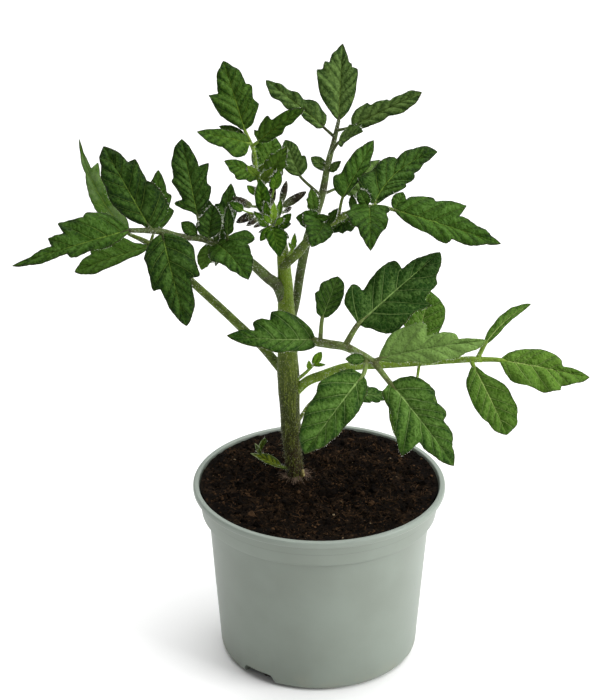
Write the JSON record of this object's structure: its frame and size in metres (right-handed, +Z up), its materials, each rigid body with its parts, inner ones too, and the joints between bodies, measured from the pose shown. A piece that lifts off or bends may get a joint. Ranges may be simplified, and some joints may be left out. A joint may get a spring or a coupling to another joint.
{
  "type": "potted tomato plant",
  "caption": "Young tomato plant with compound toothed leaves and a flower truss in bud, growing in a round plastic nursery pot filled with compost.",
  "frame": {"origin": "centre of the pot's underside, on the pot's axis", "axes": "+Z up along the pot's axis, +Y away from the pictured side, +X to the right of it"},
  "size_m": [0.257, 0.1466, 0.2843],
  "materials": {
    "pot": "satin grey-green moulded plastic",
    "compost": "rough, dark, fibrous peat compost",
    "stem": "green, finely haired, with a purple tinge near the soil",
    "leaf": "matte dark green, with paler veins and fine hairs",
    "young_leaf": "matte fresh green, finely haired",
    "bud": "dark purple-brown sepals with pale hairs",
    "withered_leaf": "yellow-green, withering"
  },
  "bodies": {
    "root": {"pot": "pot", "soil": "compost", "main_stem": "stem", "leaf_back_right": "leaf", "leaf_upper_right": "leaf", "leaf_left_front": "leaf", "leaf_left_back": "leaf", "leaf_front_right": "leaf", "leaf_lower_right": "leaf", "leaf_low_back": "leaf", "leaf_top": "young_leaf", "leaf_young_front": "young_leaf", "flower_truss": "bud", "side_shoot_low": "young_leaf", "side_shoot_high": "young_leaf", "seed_leaf": "withered_leaf"}
  },
  "joints": []
}
